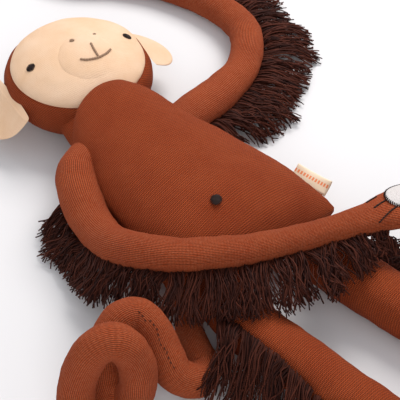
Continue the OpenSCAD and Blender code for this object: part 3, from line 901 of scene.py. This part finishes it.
def short_lines(digit, piece, at, turn, lines, body):
    """Straight lines of stitches, laid on the cloth. turn is the heading of the first axis in degrees."""
    spin = Matrix.Rotation(math.radians(turn), 3, "Z")
    strands = []
    for line in lines:
        spots = [Vector(at) + spin @ Vector((u, v, 0)) for u, v in line]
        strands += stitched_line([rest_on(piece, spot) for spot in spots], radius=0.7)
    finish_stitches(digit + "_lines", strands, dark_thread, body, digit + "_stitches")


fingers = [[(u, v) for u in range(start, end, 3)] for v, start, end in ((-10, 2, 17), (0, 1, 17), (11, 0, 24))]
toes = [[(u, v * (1 + u / 100)) for u in range(4, 20, 3)] for v in (-9, 0, 9)]
for limb, digit, end, at, turn in (
        ("right_arm", "right_finger", "right_forearm", (94, -146.5, 80), 185),
        ("left_arm", "left_finger", "left_forearm", (105.5, 299.5, 27), -54),
        ("right_leg", "right_toe", "right_shin", (-10, -330, 50), -80),
        ("left_leg", "left_toe", "left_shin", (95, -327, 50), -76)):
    short_lines(digit, limbs[limb], at, turn, fingers if "finger" in digit else toes, end)

# %% [markdown]
# ## Label
# A folded strip of woven tape is caught in the side seam. It is a sheet: cut 34 mm by 27.7 mm and folded across
# its middle, so 12 mm shows. Small plain blocks stand in for the woven lettering, which isn't copied.

# %% Fold the label
def fold_label(length=34, reach=12, tilt=math.radians(28), turn=math.radians(15), at=(85, -62, 27)):
    """A strip folded over a rounded edge, a little curled at its free corners."""
    profile = [(x, 0) for x in range(0, reach + 1, 2)]
    profile += [(reach + 1.2 * math.sin(a), 1.2 - 1.2 * math.cos(a)) for a in (0.8, 1.57, 2.35)]
    profile += [(x, 2.4) for x in range(reach, -1, -2)]
    spin = Matrix.Rotation(turn, 3, "Z") @ Matrix.Rotation(-tilt, 3, "Y")
    rows, cols = 18, len(profile)
    places, faces, uvs = [], [], []
    for i in range(rows):
        v = -length / 2 + length * i / (rows - 1)
        for x, z in profile:
            curl = 2.2 * (x / reach) ** 2 * (v / (length / 2)) ** 2 + 0.8 * noise.noise(Vector((x, v, 0)) / 12)
            places.append((Vector(at) + spin @ Vector((x, v, z + curl))) * MM)
    run = [0]
    for p, q in zip(profile, profile[1:]):
        run.append(run[-1] + math.dist(p, q))
    for i in range(rows - 1):
        for k in range(cols - 1):
            faces.append((i * cols + k, i * cols + k + 1, (i + 1) * cols + k + 1, (i + 1) * cols + k))
            uvs += [(run[a] * MM, length * b / (rows - 1) * MM)
                    for a, b in ((k, i), (k + 1, i), (k + 1, i + 1), (k, i + 1))]
    print("label flat size:", round(run[-1], 1), "by", length, "mm")
    return mesh_piece("folded_label", places, faces, uvs), run[-1]


label, label_run = fold_label()
body = label.modifiers.new("tape", "SOLIDIFY")
body.thickness, body.offset = 0.4 * MM, 0
bpy.context.view_layer.objects.active = label
bpy.ops.object.modifier_apply(modifier=body.name)
soften(label, label_tape, levels=0)
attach(label, "label")
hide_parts("side_label")

# %% [markdown]
# ## Fringe
# Cut thread is sewn in along the outer side of each arm and both legs. It lies in tufts and the strands are wavy.
# Hair curves would vanish from an exported model, so each strand is a thin three-sided tube of few faces. It
# leaves the seam outwards, falls, and lies on whatever is under it. The strands of a tuft lean together.

# %% Sew in the fringe
TUFT_MM, THREAD_STEPS, THREAD_SIDES = 13, 12, 3


def hang_fringe(name, root, tips, per_mm, seed, body, tuck=2):
    """Strands from a sewn edge to a free edge, both in mm. They start tuck mm behind the sewn edge."""
    draw = random.Random(seed)
    edge, free = smooth_route(root, 1), smooth_route(tips, 1)
    length = sum(math.dist(p, q) for p, q in zip(edge, edge[1:]))
    count, tufts = round(length * per_mm), max(2, round(length / TUFT_MM))
    lean = [draw.uniform(-1, 1) for _ in range(tufts + 1)]
    curls = [[(draw.uniform(1, 4), draw.uniform(0.5, 1.6), draw.uniform(0, math.tau)) for _ in range(2)]
             for _ in range(tufts + 1)]
    strands, shades = [], []
    for number in range(count):
        t = (number + draw.random()) / count
        tuft = min(tufts, int(t * tufts))
        middle = (tuft + 0.5) / tufts
        u = max(0, min(1, t + (middle - t) * draw.uniform(0.4, 1) + lean[tuft] * 8 / length
                       + draw.gauss(0, 3) / length))
        a = Vector(edge[min(len(edge) - 1, int(t * (len(edge) - 1)))])
        b = Vector(free[min(len(free) - 1, int(u * (len(free) - 1)))])
        a += Vector((draw.uniform(-1, 1), draw.uniform(-1, 1), draw.uniform(-2.5, 2.5)))
        a -= (b - a).normalized() * tuck
        b = a + (b - a) * (draw.uniform(0.8, 1.03) + 0.13 * lean[tuft]) + UP * draw.uniform(0, 4)
        rise = draw.uniform(3, 10)
        waves = [(size * draw.uniform(0.5, 1.5), turns * draw.uniform(0.8, 1.5), phase + draw.gauss(0, 0.7))
                 for size, turns, phase in curls[tuft]]
        hook = draw.gauss(5 * lean[tuft], 4)
        span = b - a
        sideways = span.cross(UP).normalized()
        line = []
        for j in range(THREAD_STEPS + 1):
            s = j / THREAD_STEPS
            p = a + span * s + UP * rise * 4 * s * (1 - s) * (1 - 0.5 * s)
            for (size, turns, phase), way in zip(waves, (sideways, UP)):
                p += way * size * s ** 0.5 * math.sin(math.tau * turns * s + phase)
            p += sideways * hook * s ** 3
            p.z = max(0.7, p.z)
            line.append(p)
        heads, across, ups = directions(line)
        thick = draw.uniform(0.5, 0.7)
        strands.append([thread_ring(p, across[j], ups[j], thick, THREAD_SIDES) for j, p in enumerate(line)])
        shades.append(draw.random())
    piece = many_strands(name, strands, lambda n, i, k: (shades[n], 0.005 * i), fringe_thread)
    hang(piece, body, body + "_fringe")
    print(name, "strands:", count)


hang_fringe("right_upper_fringe", [(-84, 46, 18), (-92, 24, 18), (-98, 4, 21), (-101, -18, 30)],
            [(-109, 46, 4), (-116, 28, 4), (-120, 8, 5), (-123, -14, 7)], 3, 11, "right_upper_arm")
hang_fringe("right_fore_fringe", [(-101, -16, 31), (-102, -47, 43), (-90, -84, 58), (-68, -106, 62),
                                  (-45, -119, 62), (-20, -130, 60), (18, -140, 59), (50, -149, 59),
                                  (80, -158, 59)],
            [(-124, -16, 7), (-126, -42, 14), (-123, -67, 26), (-115, -93, 42), (-106, -124, 48), (-94, -137, 48),
             (-72, -150, 48), (-28, -176, 49), (10, -182, 49), (54, -178, 49), (84, -176, 49)], 3.6, 12,
            "right_forearm")
hang_fringe("left_upper_fringe", [(70, 50, 14), (102, 61, 10), (138, 76, 9), (160, 92, 9)],
            [(84, 22, 2), (122, 24, 2), (166, 40, 2), (196, 62, 2)], 3, 13, "left_upper_arm", tuck=7)
hang_fringe("left_fore_fringe", [(160, 92, 9), (178, 110, 9), (186, 126, 9), (191, 154, 8), (189, 182, 8),
                                 (180, 212, 7), (162, 247, 7), (138, 279, 7)],
            [(196, 62, 2), (214, 84, 2), (222, 106, 2), (232, 156, 2), (230, 192, 2), (216, 232, 2),
             (192, 268, 2), (164, 302, 2)], 3, 14, "left_forearm", tuck=7)
hang_fringe("right_thigh_fringe_threads", [(-64, -140, 42), (-62, -152, 42), (-57, -180, 41), (-53, -212, 40),
                                           (-50, -236, 34)],
            [(-104, -180, 30), (-100, -196, 20), (-94, -216, 5), (-90, -244, 3), (-88, -262, 2)], 3.4, 15,
            "right_thigh")
hang_fringe("right_shin_fringe_threads", [(-50, -238, 32), (-46, -270, 26), (-41, -300, 24), (-38, -326, 22)],
            [(-88, -262, 2), (-84, -290, 2), (-80, -316, 2), (-72, -346, 2)], 3, 16, "right_shin")
hang_fringe("left_thigh_fringe_threads", [(74, -126, 20), (83, -176, 19), (92, -216, 19), (98, -240, 19)],
            [(112, -132, 2), (122, -182, 2), (132, -226, 2), (138, -252, 2)], 2.6, 17, "left_thigh")
hang_fringe("left_shin_fringe_threads", [(99, -242, 19), (106, -270, 19), (112, -298, 19), (119, -322, 19)],
            [(138, -254, 2), (144, -280, 2), (152, -312, 2), (156, -344, 2)], 2.6, 18, "left_shin")
